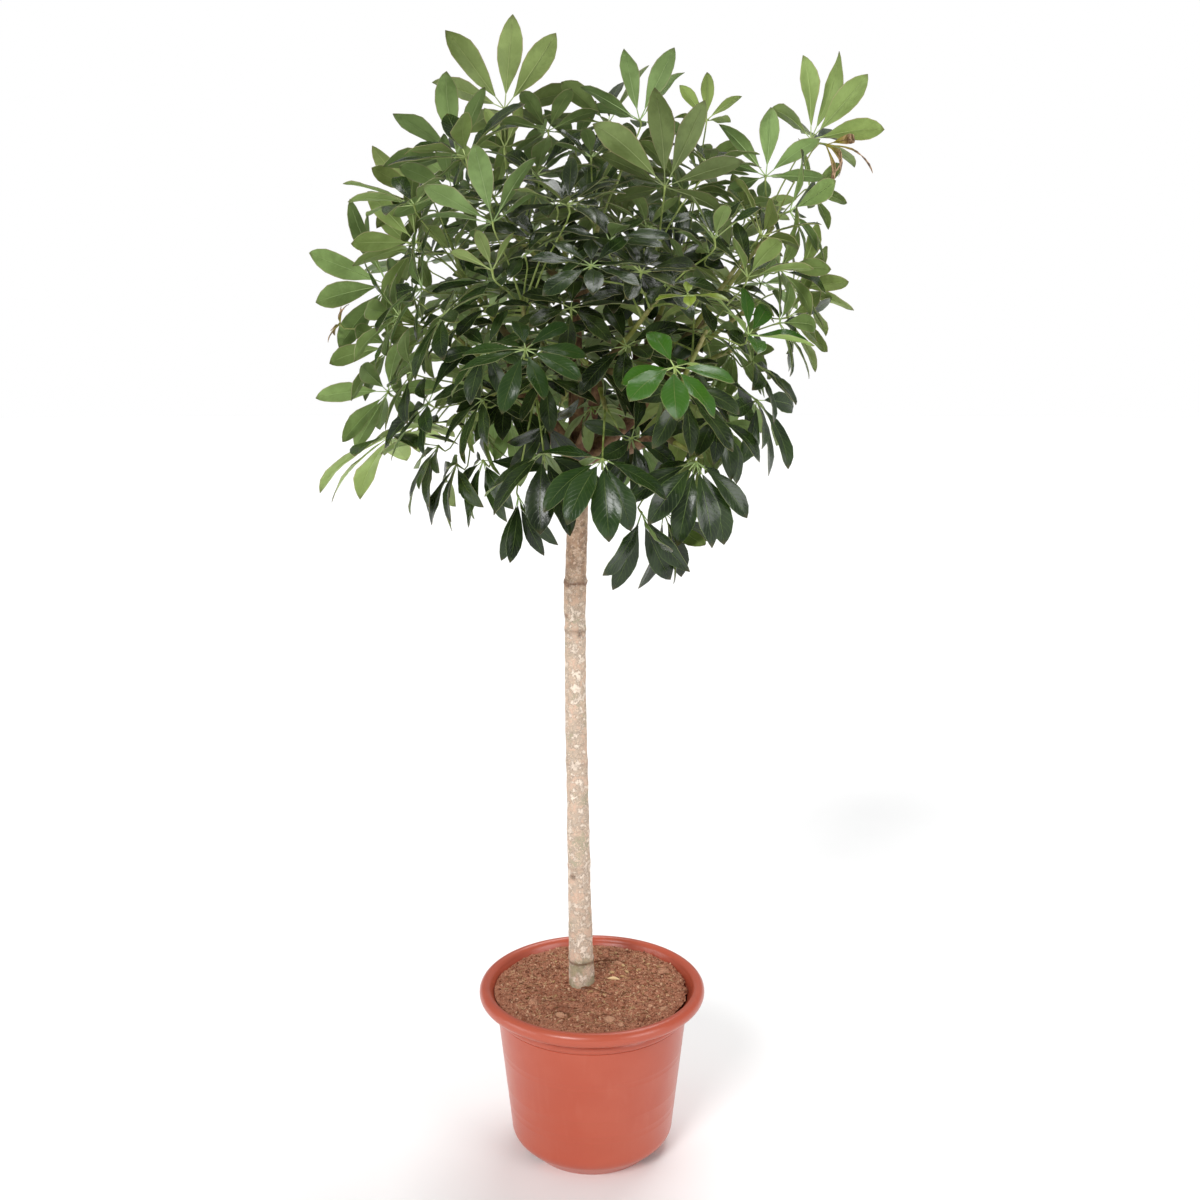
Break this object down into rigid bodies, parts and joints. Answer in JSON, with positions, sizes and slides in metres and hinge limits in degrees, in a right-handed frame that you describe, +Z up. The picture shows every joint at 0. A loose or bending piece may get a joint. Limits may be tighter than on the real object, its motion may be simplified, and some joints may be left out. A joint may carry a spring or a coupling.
{
  "type": "potted umbrella plant",
  "caption": "Umbrella plant grown as a small tree: a bare trunk and a rounded crown of palmate leaves, standing in soil in a round plastic nursery pot with a rolled rim.",
  "frame": {"origin": "centre of the foot pad under the pot, on the surface that the pot stands on", "axes": "+Z up along the pot's axis, -Y towards the front of the plant as pictured, +X to the viewer's right"},
  "size_m": [0.8289, 0.7412, 1.7343],
  "materials": {
    "pot_plastic": "satin",
    "potting_soil": "matte",
    "bark": "matte",
    "leaf": "satin"
  },
  "bodies": {
    "root": {"pot": "pot_plastic", "soil": "potting_soil", "trunk_and_limbs": "bark", "leafy_stem_01": "leaf", "leafy_stem_02": "leaf", "leafy_stem_03": "leaf", "leafy_stem_04": "leaf", "leafy_stem_05": "leaf", "leafy_stem_06": "leaf", "leafy_stem_07": "leaf", "leafy_stem_08": "leaf", "leafy_stem_09": "leaf", "leafy_stem_10": "leaf", "leafy_stem_11": "leaf", "leafy_stem_12": "leaf", "leafy_stem_13": "leaf", "leafy_stem_14": "leaf", "leafy_stem_15": "leaf", "leafy_stem_16": "leaf", "leafy_stem_17": "leaf", "leafy_stem_18": "leaf", "leafy_stem_19": "leaf", "leafy_stem_20": "leaf", "leafy_stem_21": "leaf", "leafy_stem_22": "leaf", "leafy_stem_23": "leaf", "leafy_stem_24": "leaf", "leafy_stem_25": "leaf", "leafy_stem_26": "leaf", "leafy_stem_27": "leaf", "leafy_stem_28": "leaf", "leafy_stem_29": "leaf", "leafy_stem_30": "leaf", "leafy_stem_31": "leaf"}
  },
  "joints": []
}
